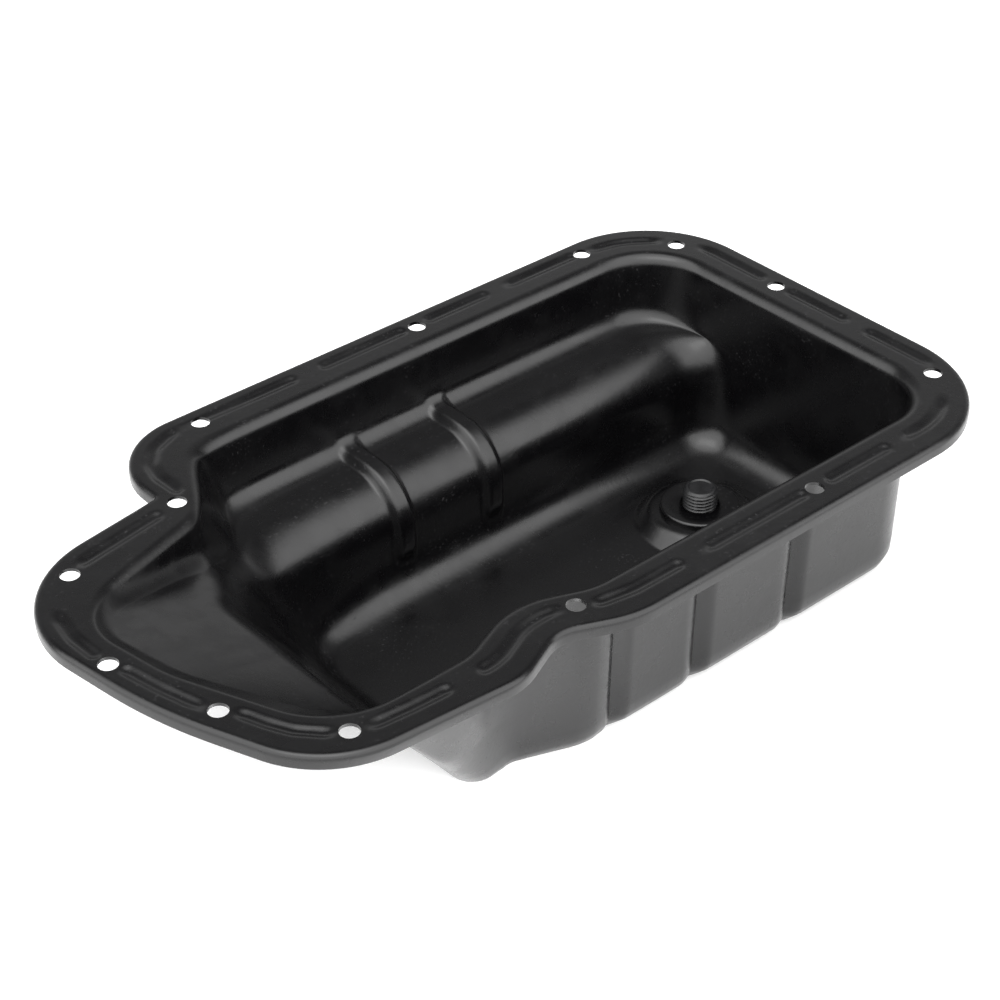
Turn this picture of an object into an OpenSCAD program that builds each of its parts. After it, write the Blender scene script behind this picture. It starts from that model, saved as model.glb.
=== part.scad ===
// Engine oil pan: deep-drawn steel sheet with a bolt flange, a shallow lobe and a deep sump.
// Millimetres, +Z up. It stands on the sump bottom, the flange faces up.

/* [Sheet] */
// thickness of the steel sheet
sheet_t = 1.2; // [0.9:0.1:1.6]
// radius of the rounding where the flange turns down into its rim
rim_r = 4; // [3:0.5:5]
// height of the turned-down rim
rim_h = 5; // [4.5:0.5:8]

/* [Flange] */
// flat edge of the flange at the deep end
flange_right = 187; // [184:1:192]
// flat edge of the flange along the far side
flange_far = 114.5; // [113:0.5:118]
// flat edge of the flange along the near side, below the axis
flange_near = 74.2; // [73:0.2:78]
// width of the flange from its flat edge to the wall
flange_w = 18.6; // [17:0.2:20]
// diameter of the thirteen bolt holes, clearance for M6
bolt_d = 7; // [6.4:0.1:7.4]

/* [Sump] */
// depth of the sump inside, from the flange face to its floor
sump_depth = 75; // [70:1:80]
// how far the end wall leans in from the flange to the floor
end_draft = 3; // [2:0.5:5]
// how far the near wall leans in from the flange to the floor
near_draft = 1.6; // [1:0.2:4]
// radius between the walls and the floor
floor_r = 9; // [7:0.5:11]
// position of the foot of the sloped wall under the lobe
foot_x = 50; // [44:1:56]

/* [Shelf] */
// depth of the rounded shelf along the far wall
shelf_depth = 29; // [26:1:32]
// position of the lower wall below the shelf, from the axis
shelf_y = 60.5; // [58:0.5:64]
// radius of the rounded shelf nose
shelf_nose_r = 19; // [14:0.5:19.5]

/* [Lobe] */
// depth of the step from the flange down to the lobe floor
lobe_step = 2.8; // [2:0.2:4]
// depth of the lobe floor at the crest above the sloped wall
lobe_depth = 12; // [9:0.5:15]
// position of the crest where the lobe floor turns down
crest_x = 98; // [94:1:102]

/* [Ribs] */
// height of the two ribs pressed inward on the shelf
rib_h = 3.4; // [2:0.2:4]
// width of these ribs at their foot
rib_w = 12; // [9:0.5:14]
// position of the first rib
rib_x1 = 4.5; // [0:0.5:10]
// spacing from the first rib to the second
rib_pitch = 44; // [38:1:50]
// depth of the three grooves pressed into the near wall
groove_h = 3.6; // [2:0.2:4.4]
// width of these grooves
groove_w = 13; // [10:0.5:15]
// position of the first groove
groove_x1 = 6.5; // [6:0.5:9]
// spacing from the first groove to the second
groove_pitch1 = 41; // [38:1:44]
// spacing from the second groove to the third
groove_pitch2 = 49; // [46:0.5:52]

/* [Drain] */
// position of the drain along the pan
drain_x = 118.6; // [112:0.2:122]
// position of the drain across the pan
drain_y = 15; // [8:0.5:20]
// height of the raised drain platform above the floor
drain_h = 6.5; // [6.4:0.1:8]
// diameter of the flat top of the platform
drain_top_d = 38; // [36:0.5:40]
// diameter of the welded threaded disc
boss_d = 32; // [28:0.5:34]
// thickness of the welded threaded disc
boss_h = 4; // [3:0.5:6]
// thread diameter of the drain plug
plug_d = 14; // [12:1:16]
// how far the plug stands above the threaded disc
plug_out = 7.5; // [4:0.5:9]
// diameter of the plug head
plug_head_d = 22; // [20:0.5:24]
// height of the plug head
plug_head_h = 4.4; // [3.5:0.1:4.6]
// side of the square socket in the plug head
plug_sq = 8; // [7:0.5:9]
// thickness of the sealing washer
washer_t = 1.5; // [1:0.1:1.6]

/* [Hidden] */
eps = 0.01;
fn_hole = 48;
steel_black = [0.035, 0.035, 0.04];
plug_black = [0.05, 0.05, 0.055];
copper_dull = [0.45, 0.28, 0.2];

// Every outline below is a closed list of corners, near right corner first, then the far
// right corner, the far left corner, the notch, the lobe and the wave of the near side.
// A corner is [x, y, z, section radius] and its radius in plan stands in a list beside it.
// All of them have the same corners, so the skin joins them point to point.
rr = rim_r;
fr = flange_right;
ff = flange_far;
fn = flange_near;

// Flat edge of the flange.
edge_c = [
    [fr, -fn, 0, 0], [fr, ff, 0, 0], [-85.3, ff, 0, 0], [-85.3, 86, 0, 0], [-85.3, 77.6, 0, 0],
    [-162, 66, 0, 0], [-150, -12.6, 0, 0], [-127.6, -68, 0, 0],
    [-58, 0.6 - fn, 0, 0], [-34.5, 11.2 - fn, 0, 0], [-9, -fn - 0.2, 0, 0]
];
edge_r = [45, 42, 27, 7, 5, 40, 176, 36, 25, 19, 38];

// Wall line at the flange face.
wx = fr - flange_w;
wf = ff - flange_w;
wn = fn - flange_w;
wall_c = [
    [wx, -wn, 0, 4.4], [wx, wf, 0, 5], [-62.5, wf, 0, 5], [-74.8, 73.8, 0, 4.6],
    [-82.8, 61.5, 0, 4.4], [-148.5, 43.5, 0, 3.6], [-141, -1.5, 0, 3.6],
    [-117, -2.6 - wn, 0, 3.6], [-63, -wn, 0, 4], [-36, 11.2 - wn, 0, 4], [-8.4, -wn, 0, 4]
];
wall_r = [25, 26, 12, 20, 10, 24, 60, 32, 26, 34, 26];

// Foot of the upper wall: the back of the shelf, the lobe step, or a line on a plain wall.
u = shelf_depth / sump_depth;
sx = wx - end_draft * u;
sn = wn - near_draft * u;
step_c = [
    [sx, -sn, -shelf_depth, 8], [sx, wf - 2, -shelf_depth, 8], [-54.5, wf - 2, -shelf_depth, 8],
    [-62, 73, -1.02 * shelf_depth, 8], [-84, 56.5, -lobe_depth, 8], [-141, 38.5, -lobe_step, 9],
    [-135, -2, -lobe_step, 9], [-111, 3.6 - wn, -lobe_step, 9],
    [-63, 1.2 - wn, -0.6 * shelf_depth, 8], [-36, 12 - wn, -shelf_depth, 8],
    [-9, -sn, -shelf_depth, 8]
];
step_r = [25, 25, 10, 12, 10, 20, 56, 28, 26, 34, 26];

// Edge where the shelf or the lobe floor turns down, or a lower line on a plain wall.
low_z = shelf_depth + 20;
v = low_z / sump_depth;
cx = crest_x;
crest_c = [
    [wx - end_draft * v, near_draft * v - wn, -low_z, 8],
    [sx - 0.2, shelf_y, -shelf_depth, shelf_nose_r],
    [-56, shelf_y, -shelf_depth, shelf_nose_r], [-65, shelf_y + 4, -1.35 * shelf_depth, 10],
    [16 - cx, 51.5, -lobe_depth - 2, 8], [-cx, 30, -lobe_depth, 12], [-cx, -5, -lobe_depth, 12],
    [-cx, 5 - wn, -lobe_depth, 12], [-66, 4.6 - wn, -0.66 * sump_depth, 10],
    [-36, 12.6 - wn, -low_z, 8], [-9, near_draft * v - wn, -low_z, 8]
];
crest_r = [24, 14, 10, 12, 12, 20, 30, 14, 26, 34, 26];

// Corner line between the walls and the floor.
bx = wx - end_draft;
bn = wn - near_draft;
fx = foot_x;
floor_z = -sump_depth;
floor_c = [
    [bx, -bn, floor_z, floor_r], [bx, shelf_y - 1, floor_z, floor_r],
    [6 - fx, shelf_y - 1, floor_z, 7], [2 - fx, 47, floor_z, 7],
    [-fx, 37, floor_z, floor_r], [-fx, 22, floor_z, 12], [-fx, 0, floor_z, 12],
    [-fx, -22, floor_z, 12], [-fx, 12.6 - wn, floor_z, 5],
    [-34, 13.2 - wn, floor_z, 6], [-9, -bn, floor_z, floor_r]
];
floor_r2 = [22, 18, 14, 40, 30, 20, 20, 20, 10, 12, 24];

// Points across each corner, and stations along each straight side.
arc_n = [6, 7, 5, 2, 4, 6, 3, 5, 4, 2, 2];
wave = [-0.5, -0.32, -0.16, 0, 0.16, 0.32, 0.5];
rib_x = [rib_x1, rib_x1 + rib_pitch];
groove_x = [groove_x1, groove_x1 + groove_pitch1, groove_x1 + groove_pitch1 + groove_pitch2];
far_st = concat(
    [112, 86, 66],
    [for (k = [6:-1:0]) rib_x[1] + wave[k] * rib_w],
    [(rib_x[0] + rib_x[1]) / 2],
    [for (k = [6:-1:0]) rib_x[0] + wave[k] * rib_w],
    [-20]
);
near_st = concat(
    [for (g = [0:2]) each concat(
        g > 0 ? [(groove_x[g - 1] + groove_x[g]) / 2] : [],
        [for (k = [0:6]) groove_x[g] + wave[k] * groove_w])],
    [118, 130]
);
side_n = [4, 0, 1, 1, 2, 1, 1, 3, 0, 0, 0];

function lerp(a, b, s) = a + (b - a) * s;
function unit(a) = a / max(norm(a), 1e-9);
function xyz(p) = [p[0], p[1], p[2]];
// Mean direction through three points.
function along(a, p, b) = unit(unit(xyz(p) - xyz(a)) + unit(xyz(b) - xyz(p)));

// Circular blend through three points as a rational curve, t is the length taken from each leg.
function blend(a, c, b, n) =
    let (w = sqrt(max(0, (1 + unit(xyz(c) - xyz(a)) * unit(xyz(b) - xyz(c))) / 2)))
    [for (k = [0:n]) let (s = k / n, p = (1 - s) * (1 - s), q = 2 * s * (1 - s) * w, r = s * s)
        (p * a + q * c + r * b) / (p + q + r)];
// Tangent of half the turn between two legs.
function half_tan(a, c, b) =
    let (d = max(-1, min(1, unit(xyz(c) - xyz(a)) * unit(xyz(b) - xyz(c)))))
    sqrt(max(0, (1 - d) / (1 + d + 1e-9)));
// Length that a plan corner takes from its sides, shared out where a side is short.
function want(c, r, i) =
    let (m = len(c), j = (i + m) % m)
    max(r[j] * half_tan(c[(j + m - 1) % m], c[j], c[(j + 1) % m]), 1);
function take(c, r, i) =
    let (m = len(c), a = c[(i + m - 1) % m], b = c[(i + 1) % m], p = c[i], t = want(c, r, i))
    t * min(1, 0.97 * norm(xyz(p - a)) / (t + want(c, r, (i + m - 1) % m)),
        0.97 * norm(xyz(p - b)) / (t + want(c, r, (i + 1) % m)));

// One closed ring of points round a list of corners.
function ring(c, r) =
    let (m = len(c))
    [for (i = [0:m - 1])
        let (a = c[(i + m - 1) % m], p = c[i], b = c[(i + 1) % m], d = c[(i + 2) % m],
             t = take(c, r, i), t2 = take(c, r, (i + 1) % m),
             s1 = t / norm(xyz(b - p)), s2 = 1 - t2 / norm(xyz(b - p)),
             arc = blend(lerp(p, a, t / norm(xyz(a - p))), p, lerp(p, b, s1), arc_n[i]),
             xs = i == 1 ? far_st : i == m - 1 ? near_st : [],
             side = len(xs) > 0
                 ? [for (x = xs) lerp(p, b, (x - p[0]) / (b[0] - p[0]))]
                 : [for (k = [1:1:side_n[i]]) lerp(p, b, lerp(s1, s2, k / (side_n[i] + 1)))])
        each concat(arc, side)];

// Plan normal of a ring, pointing out of the pan.
function out_n(g) =
    let (m = len(g))
    [for (i = [0:m - 1]) let (d = along(g[(i + m - 1) % m], g[i], g[(i + 1) % m])) unit([d[1], -d[0], 0])];

// The five rings of corner lines, and the flat edge.
edge_g = ring(edge_c, edge_r);
wall_g = ring(wall_c, wall_r);
step_g = ring(step_c, step_r);
crest_g = ring(crest_c, crest_r);
floor_g = ring(floor_c, floor_r2);
edge_n = out_n(edge_g);
wall_n = out_n(wall_g);
floor_n = out_n(floor_g);
M = len(edge_g);

// Section at one station, from the rim to the floor, as points with rounded corners.
sec_n = [3, 3, 4, 3];
function section(i) =
    let (
        e = xyz(edge_g[i]), en = edge_n[i],
        q = [xyz(wall_g[i]), xyz(step_g[i]), xyz(crest_g[i]), xyz(floor_g[i])],
        r = [wall_g[i][3], step_g[i][3], crest_g[i][3], floor_g[i][3]],
        p = concat([q[0] + 30 * wall_n[i]], q, [q[3] - 30 * floor_n[i]]),
        t0 = [for (k = [0:3]) max(r[k] * half_tan(p[k], p[k + 1], p[k + 2]), 0.8)],
        leg = [for (k = [0:4]) norm(p[k + 1] - p[k])],
        f = [for (k = [0:4]) min(1, 0.94 * leg[k] / ((k > 0 ? t0[k - 1] : 0) + (k < 4 ? t0[k] : 0)))],
        t = [for (k = [0:3]) t0[k] * min(f[k], f[k + 1])]
    )
    concat(
        [e + rr * en - [0, 0, rim_h]],
        [for (k = [0:3]) e + rr * sin(90 - 30 * k) * en - rr * (1 - cos(90 - 30 * k)) * [0, 0, 1]],
        [for (k = [0:3]) each blend(p[k + 1] + t[k] * unit(p[k] - p[k + 1]), p[k + 1],
            p[k + 1] + t[k] * unit(p[k + 2] - p[k + 1]), sec_n[k])]
    );
// grid[i][k] is station i, ring k.
sec_g = [for (i = [0:M - 1]) section(i)];
k_flat = len(sec_g[0]) - 1;
first_w = 5;
k_step = first_w + sec_n[0] + 1;
k_crest = k_step + sec_n[1] + 1;
k_floor = k_crest + sec_n[2] + 1;

// The raised drain platform goes on from the floor as rings round the drain, [radius, height].
top_r = drain_top_d / 2;
plat = [
    [top_r + 7.5, 0], [top_r + 5.2, 0.14 * drain_h], [top_r + 0.8, 0.9 * drain_h], [top_r - 0.8, drain_h]
];
drain = [drain_x, drain_y, -sump_depth];
// Direction from the drain to the floor edge at one station, and the share of a full turn.
function around(i) =
    let (d = sec_g[i][k_flat] - drain, a = (atan2(d[1], d[0]) + 433) % 360 - 73)
    lerp(360 * i / M - 68, a, 0.85);
grid0 = [for (i = [0:M - 1]) let (a = around(i))
    concat(sec_g[i], [for (q = plat) drain + [q[0] * cos(a), q[0] * sin(a), q[1]]])];
N = len(grid0[0]);

function skin_n(g, i, k) =
    (k == k_flat || k == k_flat + 1 || k == N - 1) ? [0, 0, 1] :
    let (a = along(g[(i + M - 1) % M][k], g[i][k], g[(i + 1) % M][k]),
         b = along(g[i][max(k - 1, 0)], g[i][k], g[i][min(k + 1, N - 1)]))
    k == 0 ? unit([a[1], -a[0], 0]) :
    (k == 4 || k == first_w) ? [0, 0, 1] : unit(cross(b, a) * -1);

// Pressed ribs on the far side and grooves on the near side.
function bump(x, c, w) = abs(x - c) < w / 2 ? 0.5 + 0.5 * cos(360 * (x - c) / w) : 0;
function ramp(k, a, b) = max(0, min(1, (k - a) / (b - a)));
function rib_at(p, k) =
    p[1] > 0
    ? rib_h * max(bump(p[0], rib_x[0], rib_w), bump(p[0], rib_x[1], rib_w))
        * ramp(k, k_step, k_crest - 1) * (1 - ramp(k, k_floor, k_flat))
    : groove_h * max([for (x = groove_x) bump(p[0], x, groove_w)])
        * ramp(k, k_step - 1, k_step) * (1 - ramp(k, k_floor, k_flat));
grid = [for (i = [0:M - 1]) [for (k = [0:N - 1])
    let (p = grid0[i][k], h = k > first_w && k < k_flat ? rib_at(p, k) : 0)
    h > 0 ? p + h * skin_n(grid0, i, k) : p]];
under = [for (i = [0:M - 1]) [for (k = [0:N - 1])
    grid[i][k] - sheet_t * skin_n(grid, i, k)]];

// The pan stands on its sump bottom with its box centred on the axis.
xs_all = [for (i = [0:M - 1]) grid[i][0][0]];
ys_all = [for (i = [0:M - 1]) grid[i][0][1]];
base = [-(min(xs_all) + max(xs_all)) / 2, -(min(ys_all) + max(ys_all)) / 2, sump_depth + sheet_t];

// Bolt holes on the flange, each tied to the edge beside it.
far_y = ff - 5.3;
holes = [
    [fr - 12, ff - 25.7], [140.5, far_y - 0.3], [fr - 6, 38.3], [52.9, far_y], [fr - 9.7, -45.6],
    [-49.6, far_y], [-84.9, 73.2], [-135.5, 62.2], [-151.7, 14.6], [-138.7, -26.6],
    [-114.3, -60.8], [-20.5, 13.4 - fn], [87.5, 6.9 - fn]
];

module skin() {
    o = M * N;
    mid = drain + [0, 0, drain_h];
    pts = concat([for (c = grid) each c], [for (c = under) each c], [mid, mid - [0, 0, sheet_t]]);
    faces = concat(
        [for (i = [0:M - 1], k = [0:N - 2]) let (j = (i + 1) % M, a = i * N + k, b = j * N + k)
            each [[a, b, b + 1], [a, b + 1, a + 1]]],
        [for (i = [0:M - 1], k = [0:N - 2]) let (j = (i + 1) % M, a = o + i * N + k, b = o + j * N + k)
            each [[a, b + 1, b], [a, a + 1, b + 1]]],
        [for (i = [0:M - 1]) let (j = (i + 1) % M, a = i * N, b = j * N)
            each [[a, o + a, b], [b, o + a, o + b]]],
        [for (i = [0:M - 1]) [i * N + N - 1, (i + 1) % M * N + N - 1, 2 * o]],
        [for (i = [0:M - 1]) [2 * o + 1, o + (i + 1) % M * N + N - 1, o + i * N + N - 1]]
    );
    polyhedron(points = pts, faces = faces, convexity = 12);
}

module pan_pressing() {
    color(steel_black)
    translate(base)
    difference() {
        skin();
        translate(drain) cylinder(h = drain_h + 1, d = plug_d + 0.6, $fn = fn_hole);
        for (p = holes) translate([p[0], p[1], -3]) cylinder(h = 6, d = bolt_d, $fn = fn_hole);
    }
}

module drain_boss() {
    color(steel_black)
    translate(base + drain + [0, 0, drain_h])
    difference() {
        cylinder(h = boss_h, d = boss_d, $fn = fn_hole);
        translate([0, 0, -1]) cylinder(h = boss_h + 2, d = plug_d, $fn = fn_hole);
    }
}

module drain_plug() {
    z0 = drain_h - sheet_t - washer_t;
    color(plug_black)
    translate(base + drain + [0, 0, z0])
    difference() {
        union() {
            translate([0, 0, -plug_head_h]) cylinder(h = plug_head_h, d = plug_head_d, $fn = fn_hole);
            cylinder(h = washer_t + sheet_t + boss_h + plug_out, d = plug_d - 0.1, $fn = fn_hole);
        }
        translate([-plug_sq / 2, -plug_sq / 2, -plug_head_h - 1]) cube([plug_sq, plug_sq, plug_head_h + 5]);
    }
}

module drain_plug_washer() {
    color(copper_dull)
    translate(base + drain + [0, 0, drain_h - sheet_t - washer_t])
    difference() {
        cylinder(h = washer_t, d = plug_head_d - 1, $fn = fn_hole);
        translate([0, 0, -1]) cylinder(h = washer_t + 2, d = plug_d + 0.3, $fn = fn_hole);
    }
}

pan_pressing();
drain_boss();
drain_plug();
drain_plug_washer();
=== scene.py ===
# %% [markdown]
# # A pressed steel oil pan, step by step
# The part is the pan that closes the bottom of an engine. One sheet of steel is drawn into a deep
# sump and a shallow lobe, its flange has a row of bolt holes and pressed sealing beads, and a
# drain plug screws into a welded disc. The engineering model gives the frame: every piece made
# here sits exactly where that model has it.

# %% Load the frame
import math
import bpy
import numpy as np
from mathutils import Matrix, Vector
from mathutils.geometry import delaunay_2d_cdt


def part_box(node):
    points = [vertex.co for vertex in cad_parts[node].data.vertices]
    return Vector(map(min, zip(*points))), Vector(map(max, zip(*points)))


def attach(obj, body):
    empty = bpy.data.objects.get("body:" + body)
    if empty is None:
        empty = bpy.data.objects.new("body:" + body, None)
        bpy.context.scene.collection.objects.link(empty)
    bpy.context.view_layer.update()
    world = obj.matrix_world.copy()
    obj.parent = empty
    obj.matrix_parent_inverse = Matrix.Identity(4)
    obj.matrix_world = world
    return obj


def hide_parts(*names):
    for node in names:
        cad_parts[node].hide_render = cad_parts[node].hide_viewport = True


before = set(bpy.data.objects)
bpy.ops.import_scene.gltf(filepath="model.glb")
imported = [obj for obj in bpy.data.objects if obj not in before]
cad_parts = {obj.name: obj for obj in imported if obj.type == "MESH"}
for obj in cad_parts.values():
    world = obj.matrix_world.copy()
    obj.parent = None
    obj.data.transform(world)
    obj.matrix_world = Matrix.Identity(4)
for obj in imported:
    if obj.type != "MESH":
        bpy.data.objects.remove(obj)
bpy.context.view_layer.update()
MM = 0.001
print("nodes:", sorted(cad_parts))

# %% [markdown]
# ## The sizes
# A pressed pan is all one thickness, so a few sizes govern it: the sheet, the flange outline, the
# depths of the sump, the shelf and the lobe, and the radii that join them. They are the values of
# the part's source, in millimetres, measured from the flange face. Only the rounding of the rim's
# edge is smaller here, because a narrow edge gives the narrow line of light that the photo has,
# and the grooves have their own profile further down.

# %% Sizes of the sheet, the sump, the shelf and the lobe
SHEET_T = 1.2
RIM_R, RIM_H, RIM_EDGE = 4.0, 5.0, 2.2
FLANGE_RIGHT, FLANGE_FAR, FLANGE_NEAR, FLANGE_W = 187.0, 114.5, 74.2, 18.6
SUMP_DEPTH, END_DRAFT, NEAR_DRAFT, FLOOR_R, FOOT_X = 75.0, 3.0, 1.6, 9.0, 50.0
SHELF_DEPTH, SHELF_Y, NOSE_R = 29.0, 60.5, 19.0
LOBE_STEP, LOBE_DEPTH, CREST_X = 2.8, 12.0, 98.0
RIB_X, RIB_W, RIB_H = (4.5, 48.5), 12.0, 3.4
GROOVE_X, GROOVE_H = (6.5, 47.5, 96.5), 3.6
DRAIN = np.array([118.6, 15.0, -SUMP_DEPTH])
DRAIN_H, TOP_R, BOSS_D, BOSS_H = 6.5, 19.0, 32.0, 4.0
PLUG_D, PLUG_OUT, HEAD_D, HEAD_H, SOCKET, WASHER_T = 14.0, 7.5, 22.0, 4.4, 8.0, 1.5
BOLT_D = 7.0
WX, WF, WN = FLANGE_RIGHT - FLANGE_W, FLANGE_FAR - FLANGE_W, FLANGE_NEAR - FLANGE_W
print("wall lines at x", WX, "and y", WF, -WN)

# %% [markdown]
# ## The outlines
# The skin runs from the rim, over the flange and down the walls, to the floor. Five closed
# outlines steer it: the flat edge of the flange, the wall line, the foot of the upper wall, the
# crest of the shelf and lobe, and the floor line. Each has the same eleven corners, so a section
# can be drawn from rim to floor at any place round the pan. A corner holds x, y, z and the radius
# that the section has there; its radius in plan stands in the list below the corners. A few inner
# corners beside the shelf are softer and lower than in the source, to follow the highlights.

# %% The five steering outlines
D, SD, LD, LOW = SUMP_DEPTH, SHELF_DEPTH, LOBE_DEPTH, SHELF_DEPTH + 20
CX, FX = CREST_X, FOOT_X
# The end wall and the near wall lean inward: at the shelf's depth, at LOW and at the floor.
SX, SN = WX - END_DRAFT * (SD / D), WN - NEAR_DRAFT * (SD / D)
LX, LN = WX - END_DRAFT * (LOW / D), WN - NEAR_DRAFT * (LOW / D)
BX, BN = WX - END_DRAFT, WN - NEAR_DRAFT
OUTLINES = {
    "edge": ([(FLANGE_RIGHT, -FLANGE_NEAR, 0, 0), (FLANGE_RIGHT, FLANGE_FAR, 0, 0),
              (-85.3, FLANGE_FAR, 0, 0), (-85.3, 86, 0, 0), (-85.3, 77.6, 0, 0), (-162, 66, 0, 0),
              (-150, -12.6, 0, 0), (-127.6, -68, 0, 0), (-58, 0.6 - FLANGE_NEAR, 0, 0),
              (-34.5, 11.2 - FLANGE_NEAR, 0, 0), (-9, -FLANGE_NEAR - 0.2, 0, 0)],
             [45, 42, 27, 7, 5, 40, 176, 36, 25, 19, 38]),
    "wall": ([(WX, -WN, 0, 4.4), (WX, WF, 0, 5), (-62.5, WF, 0, 5), (-74.8, 73.8, 0, 4.6),
              (-82.8, 61.5, 0, 4.4), (-148.5, 43.5, 0, 3.6), (-141, -1.5, 0, 3.6),
              (-117, -2.6 - WN, 0, 3.6), (-63, -WN, 0, 4), (-36, 11.2 - WN, 0, 4),
              (-8.4, -WN, 0, 4)],
             [25, 26, 12, 20, 10, 24, 60, 32, 26, 34, 26]),
    "step": ([(SX, -SN, -SD, 8), (SX, WF - 2, -SD, 8), (-54.5, WF - 2, -SD, 8),
              (-62, 73, -1.02 * SD, 8), (-83.5, 59, -4 - LD, 9), (-144, 40, -LOBE_STEP, 7),
              (-135, -2, -LOBE_STEP, 9), (-111, 3.6 - WN, -LOBE_STEP, 9),
              (-63, 1.2 - WN, -0.6 * SD, 8), (-36, 12 - WN, -SD, 8), (-9, -SN, -SD, 8)],
             [25, 25, 10, 12, 10, 20, 56, 28, 26, 34, 26]),
    "crest": ([(LX, -LN, -LOW, 8), (SX - 0.2, SHELF_Y, -SD, NOSE_R),
               (-59, SHELF_Y, -SD, NOSE_R), (-65, SHELF_Y + 2, -0.72 * D, 14),
               (15.5 - CX, 52, -4 - LD, 9), (-CX, 30, -LD, 12), (-CX, -5, -LD, 12),
               (-CX, 5 - WN, -LD, 12), (-66, 4.6 - WN, -0.66 * D, 10),
               (-36, 12.6 - WN, -LOW, 8), (-9, -LN, -LOW, 8)],
              [24, 14, 10, 12, 12, 20, 30, 14, 26, 34, 26]),
    "floor": ([(BX, -BN, -D, FLOOR_R), (BX, SHELF_Y - 1, -D, 13),
               (4 - FX, SHELF_Y - 1, -D, 16), (-FX, 49, -D, 12), (-FX, 37, -D, FLOOR_R),
               (-FX, 22, -D, 12), (-FX, 0, -D, 12), (-FX, -22, -D, 12), (-FX, 12.6 - WN, -D, 8),
               (-34, 11.8 - WN, -D, 8), (-9, -BN, -D, FLOOR_R)],
              [22, 18, 14, 40, 30, 20, 20, 20, 10, 12, 24]),
}
print("corners in each outline:", [len(c) for c, r in OUTLINES.values()])

# %% [markdown]
# ## Stations
# Round the pan the skin is cut into stations. Each rounded corner gets a fan of them. On the two
# long sides they stand at chosen places, close together at the ribs, the grooves and the ends of
# the sealing beads, and further apart where nothing happens. This spends the faces where the
# light will show them.

# %% Where the stations stand
BEAD_ENDS_FAR = (-42, -7.5, 8.7, 45.5, 60.5, 88, 103.5, 135.5)
BEAD_ENDS_NEAR = (20, 36.5, 81, 96.5, 125)
STEP_FAR, STEP_NEAR, BEAD_END_ZONE = 2.6, 2.8, (3.6, 0.8)


def spread(lo, hi, fine, coarse_step):
    """Positions from lo to hi, coarse_step apart, and closer round each (centre, half, step)."""
    xs, x = [lo], lo
    while x < hi:
        step = min([s for c, h, s in fine if abs(x - c) < h] + [coarse_step])
        x = min(x + step, hi)
        xs.append(x)
    return xs


FAR_X = spread(-26, 138, [(x, 8, 0.7) for x in RIB_X]
               + [(x, *BEAD_END_ZONE) for x in BEAD_ENDS_FAR], STEP_FAR)
NEAR_X = spread(0.5, 138, [(x, 10, 0.8) for x in GROOVE_X]
                + [(x, *BEAD_END_ZONE) for x in BEAD_ENDS_NEAR], STEP_NEAR)
# Pieces in each corner's arc, and stations on the side after it, corner by corner.
ARC_N = (22, 24, 18, 6, 12, 26, 10, 24, 10, 7, 9)
SIDE_N = (76, 0, 4, 4, 42, 22, 18, 34, 2, 6, 0)
FIRST_FAR = sum(ARC_N[:2]) + 2 + SIDE_N[0]
print("stations on the far and near side:", len(FAR_X), len(NEAR_X))

# %% [markdown]
# ## Rounded corners
# A rounded corner between two straight legs is a piece of a circle. Written as a rational curve
# of three points it needs no centre and no angles, and it works in space as well as in plan.
# Where two corners share a short side, each takes its fair part of it.

# %% Helpers for lines, blends and rings
SIDE_SHARE = 0.97


def unit(a):
    return a / np.maximum(np.linalg.norm(a, axis=-1, keepdims=True), 1e-9)


def blend(a, c, b, n):
    """n + 1 points of the circular blend from a to b round c. Values after x, y, z ride along."""
    w = math.sqrt(max(0.0, (1 + float(np.dot(unit(c[:3] - a[:3]), unit(b[:3] - c[:3])))) / 2))
    s = np.linspace(0, 1, n + 1)[:, None]
    p, q, r = (1 - s) ** 2, 2 * s * (1 - s) * w, s * s
    return (p * a + q * c + r * b) / (p + q + r)


def half_tan(a, c, b):
    """Tangent of half the angle that the line a, c, b turns by."""
    d = max(-1.0, min(1.0, float(np.dot(unit(c[:3] - a[:3]), unit(b[:3] - c[:3])))))
    return math.sqrt(max(0.0, (1 - d) / (1 + d + 1e-9)))


def ring(corners, radii):
    """One closed line of stations round a list of corners."""
    c = [np.array(p, float) for p in corners]
    m = len(c)
    want = [max(radii[i] * half_tan(c[i - 1], c[i], c[(i + 1) % m]), 1) for i in range(m)]
    take = []
    for i in range(m):
        k = (i + 1) % m
        before = SIDE_SHARE * np.linalg.norm(c[i][:3] - c[i - 1][:3]) / (want[i] + want[i - 1])
        after = SIDE_SHARE * np.linalg.norm(c[i][:3] - c[k][:3]) / (want[i] + want[k])
        take.append(want[i] * min(1, before, after))
    out = []
    for i in range(m):
        a, p, b = c[i - 1], c[i], c[(i + 1) % m]
        la, lb = np.linalg.norm((a - p)[:3]), np.linalg.norm((b - p)[:3])
        s1, s2 = take[i] / lb, 1 - take[(i + 1) % m] / lb
        out += list(blend(p + (a - p) * take[i] / la, p, p + (b - p) * s1, ARC_N[i]))
        if i in (1, m - 1):
            for x in (reversed(FAR_X) if i == 1 else NEAR_X):
                out.append(p + (b - p) * (x - p[0]) / (b[0] - p[0]))
        else:
            for k in range(1, SIDE_N[i] + 1):
                out.append(p + (b - p) * (s1 + (s2 - s1) * k / (SIDE_N[i] + 1)))
    return np.array(out)


def plan_normals(g):
    """Normals in plan that point out of the pan, evened out a little along the line."""
    d = unit(unit(np.roll(g, -1, 0)[:, :2] - g[:, :2]) + unit(g[:, :2] - np.roll(g, 1, 0)[:, :2]))
    n = np.stack([d[:, 1], -d[:, 0]], 1)
    for _ in range(2):
        n = unit(0.5 * n + 0.25 * (np.roll(n, 1, 0) + np.roll(n, -1, 0)))
    return np.hstack([n, np.zeros((len(n), 1))])


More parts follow.
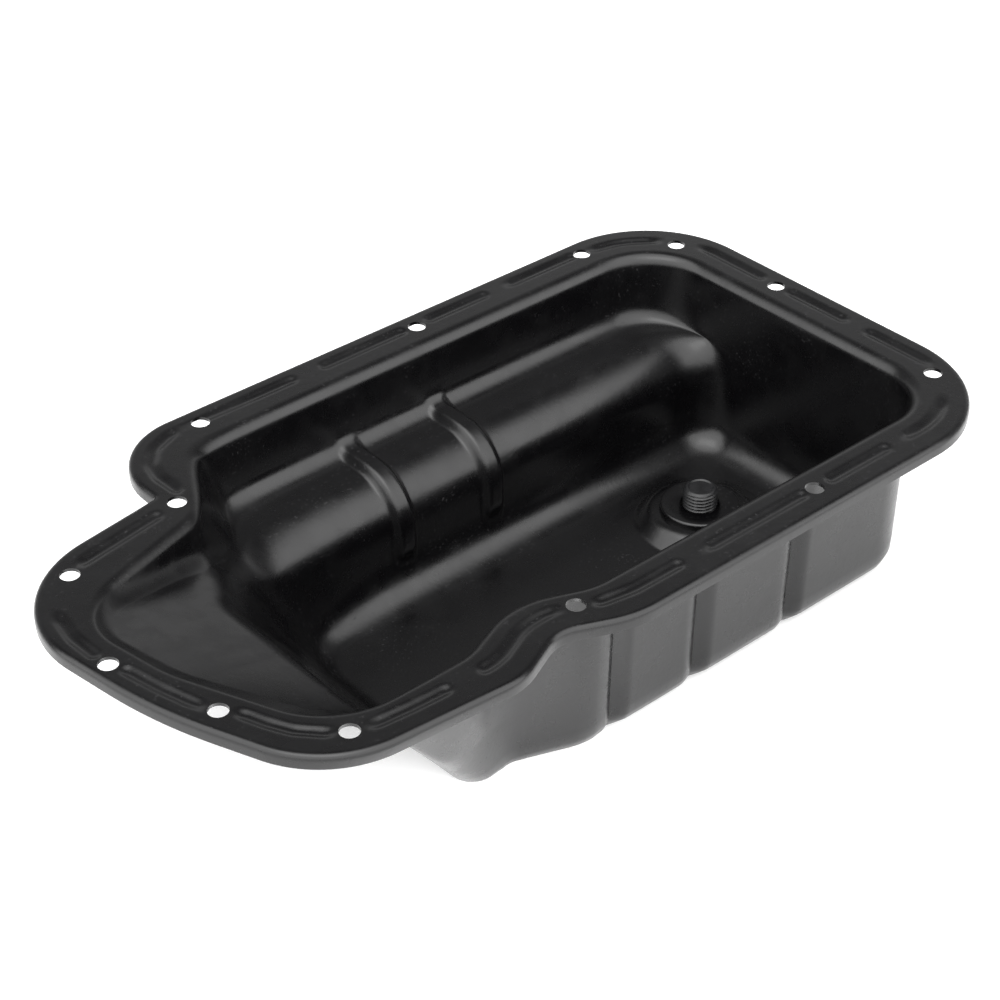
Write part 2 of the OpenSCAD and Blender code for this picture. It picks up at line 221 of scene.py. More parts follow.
G = {name: ring(*o) for name, o in OUTLINES.items()}
M = len(G["edge"])
NRM = {name: plan_normals(G[name][:, :3]) for name in ("edge", "wall", "floor")}
print("stations round the pan:", M)

# %% [markdown]
# ## The section
# At every station the section starts at the bottom of the turned-down rim, goes over its
# rounding, across the flat flange, and then round four corners to the floor. The flange is cut
# finely where the sealing beads lie, and the walls only as finely as their ribs need.

# %% One section from the rim to the floor
RIM_SEG, FLANGE_SEG, BLEND_SEG, WALL_SEG = 7, 22, (6, 6, 9, 8), (5, 5, 6)
LEAD, LEAST_TAKE, LEG_SHARE = 30, 0.8, 0.94


def section(i):
    """Points of one section. Each corner takes a length t of its legs for its rounding."""
    e, en = G["edge"][i, :3], NRM["edge"][i]
    q = [G[n][i, :3] for n in ("wall", "step", "crest", "floor")]
    r = [G[n][i, 3] for n in ("wall", "step", "crest", "floor")]
    p = [q[0] + LEAD * NRM["wall"][i]] + q + [q[3] - LEAD * NRM["floor"][i]]
    t0 = [max(r[k] * half_tan(p[k], p[k + 1], p[k + 2]), LEAST_TAKE) for k in range(4)]
    leg = [np.linalg.norm(p[k + 1] - p[k]) for k in range(5)]
    both = [(t0[k - 1] if k else 0) + (t0[k] if k < 4 else 0) for k in range(5)]
    f = [min(1, LEG_SHARE * leg[k] / both[k]) for k in range(5)]
    t = [t0[k] * min(f[k], f[k + 1]) for k in range(4)]
    pts = [e + RIM_R * en - np.array([0, 0, RIM_H])]
    for a in np.linspace(math.pi / 2, 0, RIM_SEG + 1):
        out = RIM_R - RIM_EDGE * (1 - math.sin(a))
        pts.append(e + out * en - np.array([0, 0, RIM_EDGE * (1 - math.cos(a))]))
    for k in range(4):
        arc = list(blend(p[k + 1] + t[k] * unit(p[k] - p[k + 1]), p[k + 1],
                         p[k + 1] + t[k] * unit(p[k + 2] - p[k + 1]), BLEND_SEG[k]))
        n = FLANGE_SEG if k == 0 else WALL_SEG[k - 1]
        start = pts[-1]
        pts += [start + (arc[0] - start) * s for s in np.linspace(0, 1, n + 1)[1:-1]]
        pts += arc
    return pts


grid = np.array([section(i) for i in range(M)])
N = grid.shape[1]
K_FLANGE = RIM_SEG + 1
K_WALL = K_FLANGE + FLANGE_SEG
K_STEP = K_WALL + BLEND_SEG[0] + WALL_SEG[0]
K_CREST = K_STEP + BLEND_SEG[1] + WALL_SEG[1]
K_FLOOR = K_CREST + BLEND_SEG[2] + WALL_SEG[2]
print("rings:", N, "flange starts at", K_FLANGE, "wall at", K_WALL, "floor fillet at", K_FLOOR)

# %% [markdown]
# Where the shelf runs into the side of the lobe the press stretches the sheet over a tight
# corner, so real sheet has no crease there, only a valley that gets wider towards the floor.
# Many small passes pull each station towards its two neighbours, more strongly on the lower
# rings, and that makes the valley.

# %% Ease the valley beside the shelf
EASE_PASSES, EASE_PULL, EASE_LEAST, EASE_BEFORE, EASE_AFTER = 260, 0.9, 0.12, 5, 12
valley_start = FIRST_FAR + len(FAR_X)
valley_end = valley_start + sum(ARC_N[2:5]) + 3 + sum(SIDE_N[2:4])
inside = np.zeros(M)
inside[valley_start - EASE_BEFORE:valley_end + EASE_AFTER] = 1
for _ in range(6):
    inside = (np.roll(inside, 1) + inside + np.roll(inside, -1)) / 3
ring_no = np.arange(N)
lower = np.clip((ring_no - K_STEP) / (K_FLOOR - K_STEP), EASE_LEAST, 1) * (ring_no > K_WALL)
ease = EASE_PULL * inside[:, None, None] * lower[None, :, None]
for _ in range(EASE_PASSES):
    grid = grid + ease * ((np.roll(grid, 1, 0) + np.roll(grid, -1, 0)) / 2 - grid)
print("stations eased:", int((inside > 0.5).sum()))

# %% [markdown]
# ## Ribs, grooves and beads
# A flat wall of thin sheet drums, so the press adds ribs on the shelf and grooves in the near
# wall. They are pushed along the surface's own normal, with a soft shoulder, so they follow the
# shelf over its nose. A groove isn't the same on both sides: the sheet rolls slowly into it on
# the left and comes out again more steeply on the right. The beads on the flange are shallow
# channels that hold the sealant. Each is a short line with a width: the distance from the line
# gives the depth.

# %% Normals of a grid


def grid_normals(g):
    """Normals into the pan at every point of a grid, from its neighbours on both lines."""
    a = unit(np.roll(g, -1, 0) - g) + unit(g - np.roll(g, 1, 0))
    b = np.empty_like(g)
    b[:, 1:-1] = unit(g[:, 2:] - g[:, 1:-1]) + unit(g[:, 1:-1] - g[:, :-2])
    b[:, 0], b[:, -1] = unit(g[:, 1] - g[:, 0]), unit(g[:, -1] - g[:, -2])
    n = unit(np.cross(a, b))
    n[:, 0] = unit(np.stack([a[:, 0, 1], -a[:, 0, 0], 0 * a[:, 0, 0]], 1))
    n[:, -1] = (0, 0, 1)
    return n


def smooth(t):
    """0 below 0, 1 above 1 and soft at both ends."""
    t = np.clip(t, 0, 1)
    return t * t * (3 - 2 * t)


# %% Press the ribs and the grooves
SHOULDER = 3.6
GROOVE_LEFT, ROLL_IN, GROOVE_RIGHT, ROLL_OUT = 9.5, 8, 5.5, 7.5
ks = ring_no[None, :]
nrm = grid_normals(grid)
x, below = grid[:, :, 0], -grid[:, :, 2]
far = np.zeros(M, bool)
far[FIRST_FAR:FIRST_FAR + len(FAR_X)] = True
near = np.zeros(M, bool)
near[M - len(NEAR_X):] = True
rib = sum(smooth((RIB_W / 2 - np.abs(x - c)) / SHOULDER) for c in RIB_X) * far[:, None]
rib = rib * smooth((ks - K_STEP) / 6.0) * (1 - smooth((ks - K_FLOOR + 3) / 5.0)) * RIB_H
groove = sum(np.minimum(np.clip((x - c + GROOVE_LEFT) / ROLL_IN, 0, 1) ** 2,
                        smooth((c - x + GROOVE_RIGHT) / ROLL_OUT))
             for c in GROOVE_X) * near[:, None]
down_out = 1 - smooth((ks - K_FLOOR) / (N - 1.0 - K_FLOOR))
groove = groove * smooth((below - 5) / 15) * down_out * GROOVE_H
grid = grid + nrm * (rib + groove)[:, :, None]
print("rib height", round(float(rib.max()), 2), "groove depth", round(float(groove.max()), 2))

# %% [markdown]
# The beads stop short of every bolt hole, because the sheet has to lie flat under the bolt. Most
# are straight, and a few follow the outline round a corner.

# %% Press the sealing beads
BEADS = [
    [(-42, 110.3), (-7.5, 110.3)], [(8.7, 110.3), (45.5, 110.3)], [(60.5, 110.3), (88, 110.3)],
    [(103.5, 110.3), (135.5, 110.3)], [(148, 108.4), (156, 106.6), (163, 103.2), (169.5, 98.2)],
    [(181.8, 77), (181.8, 48)], [(181.8, 30), (181.8, 4)], [(181.8, -11), (181.8, -38)],
    [(163.5, -61.5), (156, -65), (148, -66.7), (139, -67)], [(125, -67), (96.5, -67)],
    [(81, -67), (36.5, -67)], [(20, -67), (0, -66.9), (-13, -64.6)],
    [(-29, -57.8), (-35, -57.6), (-40, -58.1), (-45, -59.5), (-50, -62), (-55, -64.1),
     (-60, -65.2), (-64, -65.4)],
    [(-80, -65.3), (-93, -64.6), (-106, -63.2)],
    [(-120, -56.6), (-127, -49), (-131, -41), (-134, -33)],
    [(-142, -20), (-146, -6), (-149, 8)], [(-152.5, 22), (-153, 33), (-151, 44)],
    [(-128, 65.5), (-112, 68.2), (-95, 71)],
    [(-80.5, 80), (-81, 90), (-79, 98), (-72, 106), (-62, 110)],
]
BEAD_HALF, BEAD_FLANK, BEAD_DEPTH = 3.4, 3.2, 0.9


def distance_to(line, p):
    """Distance in plan from points p to a line of several legs."""
    best = np.full(p.shape[:-1], 1e9)
    for a, b in zip(line[:-1], line[1:]):
        a, b = np.array(a, float), np.array(b, float)
        s = np.clip(((p - a) @ (b - a)) / ((b - a) @ (b - a)), 0, 1)
        best = np.minimum(best, np.linalg.norm(p - a - s[..., None] * (b - a), axis=-1))
    return best


flat = grid[:, K_FLANGE:K_WALL + 1]
depth = np.zeros(flat.shape[:2])
for line in BEADS:
    depth = np.maximum(depth, smooth((BEAD_HALF - distance_to(line, flat[..., :2])) / BEAD_FLANK))
grid[:, K_FLANGE:K_WALL + 1, 2] -= BEAD_DEPTH * depth
print("beads:", len(BEADS))

# %% [markdown]
# ## Closing the skin
# The underside is the same skin one sheet lower along its normals, with fewer rings, since
# nobody looks there as closely. The flat floor between its rounded edge and the drain platform
# is filled with triangles, and the platform itself is turned round the drain.

# %% The underside
nrm = grid_normals(grid)
keep = [0] + [k for k in range(1, N - 1) if K_FLANGE <= k <= K_WALL or k % 2 == 0] + [N - 1]
under = (grid - SHEET_T * nrm)[:, keep]
print("rings on the underside:", under.shape[1])

# %% The drain platform as a turned profile
TURN = 96
profile = [(TOP_R + 8.2, 0.0), (TOP_R + 6.8, 0.12), (TOP_R + 5.6, 0.75), (TOP_R + 4.6, 1.7),
           (TOP_R + 1.5, DRAIN_H - 1.5), (TOP_R + 0.6, DRAIN_H - 0.6), (TOP_R - 0.5, DRAIN_H - 0.1),
           (TOP_R - 1.8, DRAIN_H), (PLUG_D / 2 + 0.3, DRAIN_H)]
turn = np.linspace(0, 2 * math.pi, TURN, endpoint=False)


def circle(centre, r, z, turn):
    """A circle of points round a centre, lifted by z. The radius may differ from point to point."""
    return np.stack([centre[0] + r * np.cos(turn), centre[1] + r * np.sin(turn),
                     np.full(len(turn), centre[2] + z)], 1)


prof = np.array(profile)
tang = unit(unit(np.diff(prof, axis=0, prepend=prof[:1]))
            + unit(np.diff(prof, axis=0, append=prof[-1:])))
off = np.stack([tang[:, 1], -tang[:, 0]], 1)
off[0], off[-1] = (0, -1), (0, -1)
off *= -np.sign(off[:, 1:] + 1e-12)
lower_prof = prof - SHEET_T * off
lower_prof[-1, 0] = prof[-1, 0]
plat_top = np.array([circle(DRAIN, r, z, turn) for r, z in prof])
plat_low = np.array([circle(DRAIN, r, z, turn) for r, z in lower_prof])
print("platform height", DRAIN_H, "top radius", TOP_R)

# %% [markdown]
# The fill between two closed lines in one plane is a job for a constrained triangulation: it
# joins the given points without adding any, so the skin stays closed.

# %% Fill the flat floor round the platform


def floor_fill(outer, inner):
    """Triangles between two closed lines in plan, as indices into outer then inner.

    The triangulation fills the whole hull, so a triangle stays only if its middle lies outside
    the inner circle and inside the outer line, by counting how often a ray crosses that line.
    """
    pts = [Vector(p[:2]) for p in outer] + [Vector(p[:2]) for p in inner]
    a, b = len(outer), len(inner)
    edges = [(i, (i + 1) % a) for i in range(a)] + [(a + i, a + (i + 1) % b) for i in range(b)]
    verts, _, faces, orig, _, _ = delaunay_2d_cdt(pts, edges, [], 0, 1e-5)
    poly = np.array([p[:2] for p in outer])
    out = []
    for f in faces:
        c = np.mean([verts[k][:] for k in f], axis=0)
        if np.linalg.norm(c - DRAIN[:2]) < prof[0, 0] * 0.9999 * math.cos(math.pi / TURN):
            continue
        x1, y1 = poly[:, 0], poly[:, 1]
        x2, y2 = np.roll(x1, -1), np.roll(y1, -1)
        cross_x = (x2 - x1) * (c[1] - y1) / (y2 - y1 + 1e-15) + x1
        hit = ((y1 > c[1]) != (y2 > c[1])) & (c[0] < cross_x)
        if hit.sum() % 2:
            out.append([orig[k][0] for k in f])
    return out


fill = floor_fill(grid[:, -1], plat_top[0])
print("triangles in the floor:", len(fill))

# %% [markdown]
# Now all parts of the skin become one mesh. The bolt holes are cut last, with thirteen plain
# drills, and edges sharper than about 40 degrees are marked so that only they shade hard.

# %% Build one closed mesh
plug_lo, plug_hi = (np.array(c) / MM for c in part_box("drain_plug"))
BASE = np.append((plug_lo + plug_hi)[:2] / 2 - DRAIN[:2], SUMP_DEPTH + SHEET_T)
print("shift to the frame:", BASE.round(3))


def strip(a, b, flip=False):
    """Quads between two closed rows of vertex numbers."""
    n = len(a)
    faces = [(a[i], a[(i + 1) % n], b[(i + 1) % n], b[i]) for i in range(n)]
    return [f[::-1] for f in faces] if flip else faces


def mesh_object(name, verts, faces):
    """A smooth-shaded object from points in millimetres, moved to its place in the frame."""
    me = bpy.data.meshes.new(name)
    pts = (np.asarray(verts) + BASE) * MM
    me.from_pydata(pts.tolist(), [], [tuple(int(i) for i in f) for f in faces])
    me.validate()
    me.shade_smooth()
    ob = bpy.data.objects.new(name, me)
    bpy.context.scene.collection.objects.link(ob)
    return ob


NU = under.shape[1]
verts = np.vstack([part.reshape(-1, 3) for part in (grid, under, plat_top, plat_low)])
o_under = M * N
o_top = o_under + M * NU
o_low = o_top + len(prof) * TURN
row_t = [np.arange(M) * N + k for k in range(N)]
row_u = [o_under + np.arange(M) * NU + k for k in range(NU)]
pt = [o_top + j * TURN + np.arange(TURN) for j in range(len(prof))]
pl = [o_low + j * TURN + np.arange(TURN) for j in range(len(prof))]
faces = []
for k in range(N - 1):
    faces += strip(row_t[k], row_t[k + 1])
for k in range(NU - 1):
    faces += strip(row_u[k], row_u[k + 1], True)
faces += strip(row_t[0], row_u[0], True)
for j in range(len(prof) - 1):
    faces += strip(pt[j], pt[j + 1])
    faces += strip(pl[j], pl[j + 1], True)
faces += strip(pt[-1], pl[-1])
for f in fill:
    p = [(grid[i, -1] if i < M else plat_top[0][i - M]) for i in f]
    (ax, ay), (bx, by) = (p[1] - p[0])[:2], (p[2] - p[0])[:2]
    area = ax * by - bx * ay
    tri = f if area > 0 else f[::-1]
    faces.append([row_t[-1][i] if i < M else pt[0][i - M] for i in tri])
    faces.append([row_u[-1][i] if i < M else pl[0][i - M] for i in tri[::-1]])
raw = mesh_object("pan_raw", verts, faces)
print("faces before drilling:", len(raw.data.polygons))

# %% Drill the bolt holes
FAR_Y = FLANGE_FAR - 5.3
HOLES = [
    (FLANGE_RIGHT - 12, FLANGE_FAR - 25.7), (140.5, FAR_Y - 0.3), (FLANGE_RIGHT - 6, 38.3),
    (52.9, FAR_Y), (FLANGE_RIGHT - 9.7, -45.6), (-49.6, FAR_Y), (-84.9, 73.2), (-135.5, 62.2),
    (-151.7, 14.6), (-138.7, -26.6), (-114.3, -60.8), (-20.5, 13.4 - FLANGE_NEAR),
    (87.5, 6.9 - FLANGE_NEAR),
]
DRILL, DRILL_Z, SHARP = 48, (-4.0, 3.0), 40
ang = np.linspace(0, 2 * math.pi, DRILL, endpoint=False)
dv, df = [], []
for hx, hy in HOLES:
    low_row = len(dv) + np.arange(DRILL)
    for z in DRILL_Z:
        dv += [(hx + BOLT_D / 2 * math.cos(a), hy + BOLT_D / 2 * math.sin(a), z) for a in ang]
    df += strip(low_row, low_row + DRILL)
    df += [tuple(low_row)[::-1], tuple(low_row + DRILL)]
drill = mesh_object("drill", dv, df)
cut = raw.modifiers.new("bolt holes", "BOOLEAN")
cut.operation, cut.solver, cut.object = "DIFFERENCE", "EXACT", drill
bpy.context.view_layer.update()
done = bpy.data.meshes.new_from_object(raw.evaluated_get(bpy.context.evaluated_depsgraph_get()))
done.name = "pan_sheet"
bpy.data.objects.remove(raw)
bpy.data.objects.remove(drill)
pan = bpy.data.objects.new("pan_sheet", done)
bpy.context.scene.collection.objects.link(pan)
done.shade_smooth()
done.set_sharp_from_angle(angle=math.radians(SHARP))
print("pan faces:", len(done.polygons),
      "triangles:", sum(len(p.vertices) - 2 for p in done.polygons))

# %% [markdown]
# ## Shader maths as plain Python
# A finish is a small sum: some noise, a mask, a mix. Wrapping a socket in a class with operators
# lets that sum be written as a sum. Values use Math nodes, colours use Mix nodes and vectors use
# Vector Math nodes. Every other node is made by one method that sets the node up first and then
# fills its sockets.

# %% Sockets with operators


class Wire:
    """A socket in a node tree that can be added, multiplied and mixed like a number."""

    def __init__(self, tree, socket):
        self.tree, self.socket = tree, socket

    def node(self, kind, settings=None, sockets=None, out=0):
        """Add a node, set its own properties, then link or fill its sockets."""
        n = self.tree.nodes.new(kind)
        for key, value in (settings or {}).items():
            if key == "ramp":
                els = n.color_ramp.elements
                while len(els) > 1:
                    els.remove(els[-1])
                els[0].position, els[0].color = value[0]
                for pos, col in value[1:]:
                    els.new(pos).color = col
            else:
                setattr(n, key, value)
        for key, value in (sockets or {}).items():
            if isinstance(value, Wire):
                self.tree.links.new(value.socket, n.inputs[key])
            else:
                n.inputs[key].default_value = value
        return Wire(self.tree, n.outputs[out])

    def _is(self, kind):
        return self.socket.type == kind

    def _two(self, op, a, b):
        """Add, subtract, multiply or divide in the kind of maths that fits this socket."""
        if self._is("VECTOR"):
            fill = [(v,) * 3 if isinstance(v, (int, float)) else v for v in (a, b)]
            return self.node("ShaderNodeVectorMath", {"operation": op}, {0: fill[0], 1: fill[1]})
        if self._is("RGBA"):
            fill = [(v,) * 3 + (1,) if isinstance(v, (int, float)) else v for v in (a, b)]
            return self.node("ShaderNodeMix", {"data_type": "RGBA", "blend_type": op},
                             {0: 1.0, 6: fill[0], 7: fill[1]}, out=2)
        return self.node("ShaderNodeMath", {"operation": op}, {0: a, 1: b})

    def __add__(self, o): return self._two("ADD", self, o)
    def __radd__(self, o): return self._two("ADD", o, self)
    def __sub__(self, o): return self._two("SUBTRACT", self, o)
    def __rsub__(self, o): return self._two("SUBTRACT", o, self)
    def __mul__(self, o): return self._two("MULTIPLY", self, o)
    def __rmul__(self, o): return self._two("MULTIPLY", o, self)
    def __truediv__(self, o): return self._two("DIVIDE", self, o)

    def clamp(self, lo=0.0, hi=1.0):
        return self.node("ShaderNodeClamp", {}, {"Value": self, "Min": lo, "Max": hi})

    def between(self, lo, hi):
        """0 at lo, 1 at hi, soft at both ends."""
        return self.node("ShaderNodeMapRange", {"interpolation_type": "SMOOTHSTEP"},
                         {"Value": self, "From Min": lo, "From Max": hi})

    def mix(self, a, b):
        """Colour a where this is 0, colour b where it is 1."""
        return self.node("ShaderNodeMix", {"data_type": "RGBA"}, {0: self, 6: a, 7: b}, out=2)

    def noise(self, scale, detail, rough):
        """Soft noise over this vector."""
        return self.node("ShaderNodeTexNoise", {}, {"Vector": self, "Scale": scale,
                                                    "Detail": detail, "Roughness": rough})

    def bump(self, height, strength, distance):
        """A normal from a height in this vector's tree. The distance is in metres."""
        return self.node("ShaderNodeBump", {}, {"Height": height, "Strength": strength,
                                                "Distance": distance})


def finish_of(name, constants):
    """A material, the object's coordinates as a Wire, and a way to link into the shader."""
    mat = bpy.data.materials.new(name)
    mat.use_nodes = True
    tree = mat.node_tree
    shader = tree.nodes["Principled BSDF"]
    for key, value in constants.items():
        shader.inputs[key].default_value = value
    where = Wire(tree, tree.nodes.new("ShaderNodeTexCoord").outputs["Object"])

    def feed(socket, wire):
        tree.links.new(wire.socket, shader.inputs[socket])

    return mat, where, feed


# %% [markdown]
# ## The black coating
# The pan is dipped in black paint that is baked on. It isn't a mirror: the baked film has a
# slight orange peel, and handling and a few specks of dust make its gloss vary. So the colour is
# nearly constant, while the roughness carries two sizes of mottle and the bump carries the peel,
# a fraction of a millimetre deep.

# %% Black baked coating
pan_black, where, feed = finish_of("pan_black", {"Metallic": 0.0, "IOR": 1.5,
                                                 "Specular IOR Level": 0.5})
FILM, DUST = (0.0012, 0.0011, 0.0014, 1), (0.03, 0.029, 0.031, 1)
mottle = where.noise(26.0, 4.0, 0.6)
haze = where.noise(110.0, 3.0, 0.55)
peel = where.noise(520.0, 2.0, 0.5)
specks = where.noise(900.0, 1.0, 0.5)
dust = specks.between(0.66, 0.72) * mottle.between(0.42, 0.62)
feed("Base Color", (dust * 0.3).mix(FILM, DUST))
uneven = mottle.between(0.35, 0.7) * 0.07 + haze.between(0.4, 0.7) * 0.05
feed("Roughness", (0.24 + uneven + dust * 0.2).clamp(0.1, 0.8))
feed("Normal", where.bump(peel * 0.6 + haze * 0.4, 0.12, 0.4 * MM))
pan.data.materials.clear()
pan.data.materials.append(pan_black)
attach(pan, "root")
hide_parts("pan_pressing")
print("coating on", pan.name)

# %% [markdown]
# ## The drain
# A thick disc is welded on the platform to give the plug enough thread. It is a turned part: a
# flat face, a rounded edge and a bore. It is painted together with the pan, so it has the same
# finish.

# %% Turn a closed profile into a ring


def lathe(name, points, centre, segments=96):
    """A ring turned from a closed profile of (radius, height) points."""
    a = np.linspace(0, 2 * math.pi, segments, endpoint=False)
    n = len(points)
    rows = [np.arange(segments) + k * segments for k in range(n)]
    fs = []
    for k in range(n):
        fs += strip(rows[k], rows[(k + 1) % n])
    ob = mesh_object(name, np.vstack([circle(centre, r, z, a) for r, z in points]), fs)
    ob.data.set_sharp_from_angle(angle=math.radians(50))
    return ob


def rounded(r, z, radius, start, steps=5):
    """Points of a quarter round with its centre at r, z, from the angle start, in degrees."""
    return [(r + radius * math.cos(math.radians(start + 90 * k / steps)),
             z + radius * math.sin(math.radians(start + 90 * k / steps))) for k in range(steps + 1)]


# %% The welded disc
disc_at = DRAIN + np.array([0, 0, DRAIN_H])
bore_r, out_r, DISC_EDGE = PLUG_D / 2 - 0.01, BOSS_D / 2, 1.2
disc = lathe("drain_disc", [(bore_r, 0.0), (out_r, 0.0)]
             + rounded(out_r - DISC_EDGE, BOSS_H - DISC_EDGE, DISC_EDGE, 0)
             + [(bore_r + 1.0, BOSS_H), (bore_r, BOSS_H - 0.9)], disc_at)
disc.data.materials.append(pan_black)
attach(disc, "root")
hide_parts("drain_boss")
print("disc width in mm:", BOSS_D)

# %% [markdown]
# The plug is a steel screw. Its thread is a real helix here: the radius goes up and down along a
# line that climbs one pitch each turn. It starts a little above the head and ends on a chamfer.
# The head below has a square socket for the wrench.

# %% The drain plug with its thread
PITCH, THREAD_DEEP, TURNS_N, ROWS_A_TURN = 1.5, 0.86, 96, 10
THREAD_FROM, THREAD_IN, CHAMFER = 3.0, 1.5, 1.25
HEAD_TOP_R, HEAD_LOW_R, SOCKET_TOP, SOCKET_EDGE = 0.6, 0.9, 0.6, 0.5
z_head = DRAIN_H - SHEET_T - WASHER_T
shank = WASHER_T + SHEET_T + BOSS_H + PLUG_OUT
plug_at = DRAIN + np.array([0, 0, z_head])
ta = np.linspace(0, 2 * math.pi, TURNS_N, endpoint=False)
crest_r = PLUG_D / 2 - 0.05


def square_row(half, z):
    """A square with as many points as a circle, so that both join in one strip."""
    return circle(plug_at, half / np.maximum(np.abs(np.cos(ta)), np.abs(np.sin(ta))), z, ta)


def thread_row(z):
    """One turn of points at height z, with the radius that the helix has there."""
    saw = (z / PITCH - ta / (2 * math.pi)) % 1.0
    wave = np.clip(np.abs(saw - 0.5) * 2.3 - 0.15, 0, 1)
    r = crest_r - THREAD_DEEP * wave * smooth((z - THREAD_FROM) / THREAD_IN)
    return circle(plug_at, np.minimum(r, crest_r - CHAMFER + (shank - z)), z, ta)


zs = np.arange(0, shank + 1e-6, PITCH / ROWS_A_TURN)
half_d = HEAD_D / 2
head_profile = rounded(half_d - HEAD_LOW_R, HEAD_LOW_R - HEAD_H, HEAD_LOW_R, -90)
# At its top the head's edge turns in by 0.6 mm. That fold lies under the washer, out of sight.
head_profile += rounded(half_d - HEAD_TOP_R, -HEAD_TOP_R, HEAD_TOP_R, 90)
head_profile += [(half_d - HEAD_TOP_R, 0.0), (crest_r, 0.0)]
rows = [square_row(half, z) for half, z in (
    (0.02, SOCKET_TOP), (SOCKET / 2, SOCKET_TOP), (SOCKET / 2, SOCKET_EDGE - HEAD_H),
    (SOCKET / 2 + SOCKET_EDGE, -HEAD_H))]
rows += [circle(plug_at, r, z, ta) for r, z in head_profile] + [thread_row(z) for z in zs[1:]]
rows += [circle(plug_at, r, z, ta) for r, z in (
    (crest_r - 1.9, shank), (crest_r - 2.4, shank - 0.5), (0.02, shank - 0.5))]
pv = np.vstack(rows)
pf = []
for k in range(len(rows) - 1):
    pf += strip(np.arange(TURNS_N) + k * TURNS_N, np.arange(TURNS_N) + (k + 1) * TURNS_N)
pf += [tuple(range(TURNS_N))[::-1], tuple(len(pv) - TURNS_N + i for i in range(TURNS_N))]
plug = mesh_object("plug_screw", pv, pf)
plug.data.set_sharp_from_angle(angle=math.radians(38))
print("plug length in mm:", round(shank + HEAD_H, 2))

# %% Black zinc on the plug
plug_black, where, feed = finish_of("plug_black", {"IOR": 1.5})
ZINC_DARK, ZINC_PALE = (0.004, 0.004, 0.0045, 1), (0.012, 0.012, 0.013, 1)
tone = where.noise(160.0, 4.0, 0.6)
scuff = where.noise(700.0, 2.0, 0.6)
feed("Base Color", tone.between(0.35, 0.7).mix(ZINC_DARK, ZINC_PALE))
feed("Metallic", 0.05 + 0.15 * tone.between(0.45, 0.7))
feed("Roughness", (0.3 + 0.16 * scuff).clamp(0.1, 0.9))
feed("Normal", where.bump(scuff, 0.15, 0.2 * MM))
plug.data.materials.append(plug_black)
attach(plug, "root")
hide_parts("drain_plug")
print("plug finish set")

# %% [markdown]
# A soft copper washer seals the plug from below. It is flat with slightly eased edges, dull and
# a little stained, so its colour wanders between bright and brown copper.

# %% The sealing washer
wr0, wr1, EASE_IN, EASE_OUT = PLUG_D / 2 + 0.15, HEAD_D / 2 - 0.5, 0.2, 0.25
washer = lathe("seal_washer", [
    (wr0, EASE_IN), (wr0 + EASE_IN, 0.0), (wr1 - EASE_OUT, 0.0), (wr1, EASE_OUT),
    (wr1, WASHER_T - EASE_OUT), (wr1 - EASE_OUT, WASHER_T), (wr0 + EASE_IN, WASHER_T),
    (wr0, WASHER_T - EASE_IN)], plug_at, 72)
copper, where, feed = finish_of("dull_copper", {"Metallic": 1.0})
COPPER_BRIGHT, COPPER_BROWN = (0.55, 0.30, 0.19, 1), (0.30, 0.16, 0.10, 1)
stain = where.noise(300.0, 4.0, 0.6)
feed("Base Color", stain.between(0.35, 0.7).mix(COPPER_BRIGHT, COPPER_BROWN))
feed("Roughness", (0.32 + 0.25 * stain).clamp(0.1, 0.9))
feed("Normal", where.bump(stain, 0.1, 0.2 * MM))
washer.data.materials.append(copper)
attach(washer, "root")
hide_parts("drain_plug_washer")
print("washer set at", (plug_at + BASE).round(2))

# %% [markdown]
# ## Floor, light and camera
# Black gloss is all reflection: the part shows its room. So the room is drawn as a tent round
# the camera's direction. Its brightness depends on how far a direction is swept up from the
# horizon behind the pan, over the top, to the camera's side: 0 is that far horizon, 0.5 is
# overhead and 1 is the horizon behind the camera. There is a pale band low down behind the pan, a
# darker one above it, and bright cloth overhead and behind the camera. The floor is pale and
# evenly lit, so that the outer walls pick it up.

# %% The room round the pan
YAW, PITCH_DOWN = math.radians(41.334), math.radians(35.350)
TENT_STRENGTH = 3.2
TENT = [(0.0, 0.05), (0.075, 0.08), (0.1, 0.3), (0.14, 0.28), (0.17, 0.1), (0.23, 0.12),
        (0.28, 0.05), (0.38, 0.05), (0.46, 1.0), (0.8, 1.0), (0.98, 0.6)]
world = bpy.data.worlds.new("studio")
bpy.context.scene.world = world
world.use_nodes = True
wt = world.node_tree
wt.nodes.clear()
direction = Wire(wt, wt.nodes.new("ShaderNodeTexCoord").outputs["Generated"])
ahead = direction.node("ShaderNodeVectorMath", {"operation": "DOT_PRODUCT"},
                       {0: direction, 1: (math.sin(YAW), math.cos(YAW), 0.0)}, out=1)
height = direction.node("ShaderNodeSeparateXYZ", {}, {0: direction}, out=2)
sweep = ahead.node("ShaderNodeMath", {"operation": "ARCTAN2"}, {0: height, 1: ahead}) / math.pi
tent = sweep.node("ShaderNodeValToRGB", {"ramp": [(at, (g, g, g, 1)) for at, g in TENT]},
                  {"Fac": sweep})
back = wt.nodes.new("ShaderNodeBackground")
wt.links.new(tent.socket, back.inputs["Color"])
back.inputs["Strength"].default_value = TENT_STRENGTH
out = wt.nodes.new("ShaderNodeOutputWorld")
wt.links.new(back.outputs[0], out.inputs[0])
print("tent set round yaw", round(math.degrees(YAW), 1))

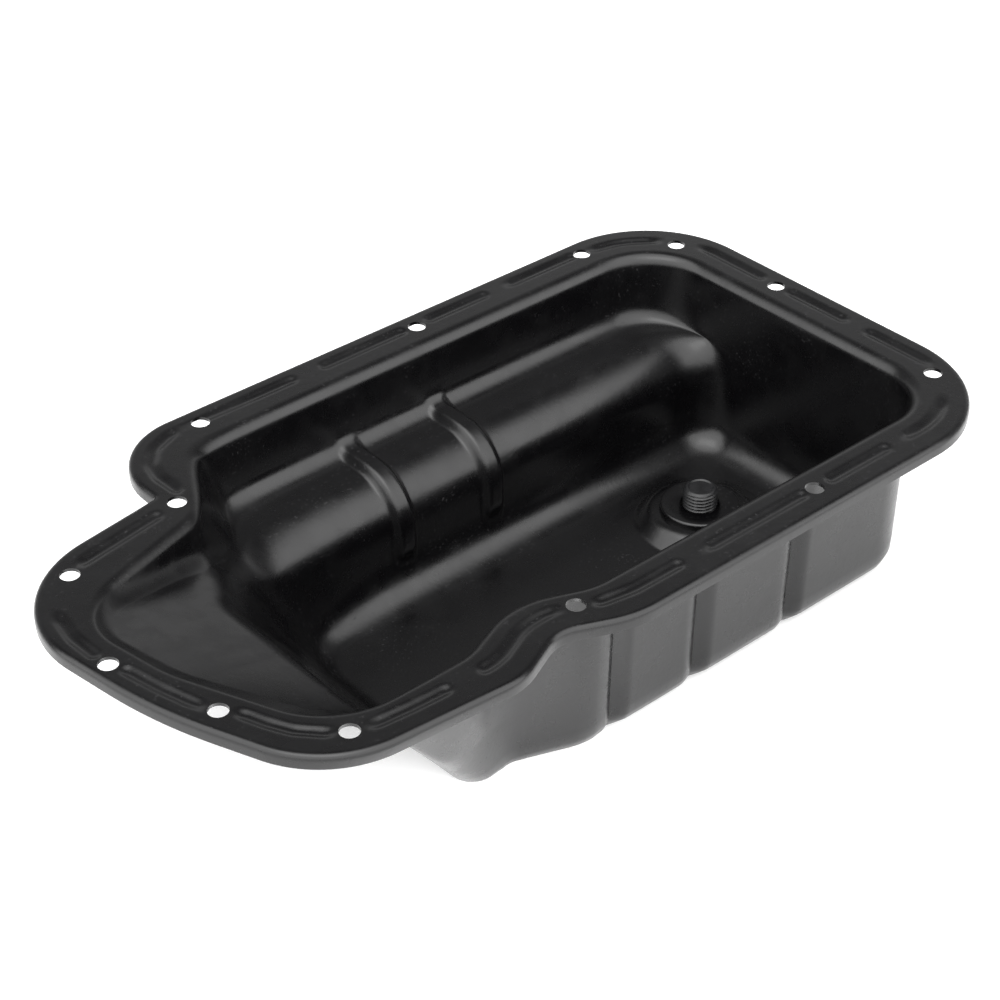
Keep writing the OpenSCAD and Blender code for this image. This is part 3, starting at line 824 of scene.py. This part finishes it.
# %% The floor
bpy.ops.mesh.primitive_plane_add(size=12, location=(0, 0, 0))
ground = bpy.context.object
ground.name = "floor"
pale, where, feed = finish_of("pale_floor", {
    "Base Color": (0.86, 0.86, 0.86, 1), "Roughness": 0.9,
    "Emission Color": (1, 1, 1, 1), "Emission Strength": 0.25})
ground.data.materials.append(pale)
print("floor set")

# %% [markdown]
# The camera was fitted to the bolt holes of the flat flange. Its focal length is in pixels of the
# photo, and its place is in millimetres from the point that the outlines are measured from.

# %% The camera
FOCAL_PX, PHOTO_PX, SENSOR_MM, EYE_MM = 2262.05, 1000.0, 36.0, (-423.2, -481.1, 454.5)
look = Vector((math.sin(YAW) * math.cos(PITCH_DOWN), math.cos(YAW) * math.cos(PITCH_DOWN),
               -math.sin(PITCH_DOWN)))
eye = (Vector(EYE_MM) + Vector(BASE)) * MM
cam = bpy.data.cameras.new("camera")
cam.sensor_width, cam.lens = SENSOR_MM, FOCAL_PX * SENSOR_MM / PHOTO_PX
cam.clip_start, cam.clip_end = 0.01, 50
cam_ob = bpy.data.objects.new("camera", cam)
bpy.context.scene.collection.objects.link(cam_ob)
cam_ob.location = eye
cam_ob.rotation_euler = look.to_track_quat("-Z", "Y").to_euler()
bpy.context.scene.camera = cam_ob
bpy.context.scene.view_settings.view_transform = "Standard"
print("camera at", [round(c, 3) for c in eye])

# %% [markdown]
# One large softbox from above on the camera's side gives the soft shadow. A vertical wall mirrors
# the floor just in front of it. The swell at the left of the near wall is the brightest part
# outside, so a small lamp hangs low over the floor there. It points straight down and stays out
# of sight.

# %% The two lamps


def area_lamp(name, size, watts, place, aim=None):
    """A rectangular lamp that points straight down, or at aim."""
    lamp = bpy.data.lights.new(name, "AREA")
    lamp.shape, lamp.energy = "RECTANGLE", watts
    lamp.size, lamp.size_y = size
    ob = bpy.data.objects.new(name, lamp)
    bpy.context.scene.collection.objects.link(ob)
    ob.location = place
    if aim:
        ob.rotation_euler = (Vector(aim) - ob.location).to_track_quat("-Z", "Y").to_euler()
    return ob


area_lamp("key_softbox", (1.2, 0.8), 6.0, (-0.5, -0.3, 1.5), aim=(0, 0, 0))
area_lamp("low_lamp", (0.09, 0.05), 0.2, (-0.112, -0.13, 0.05))
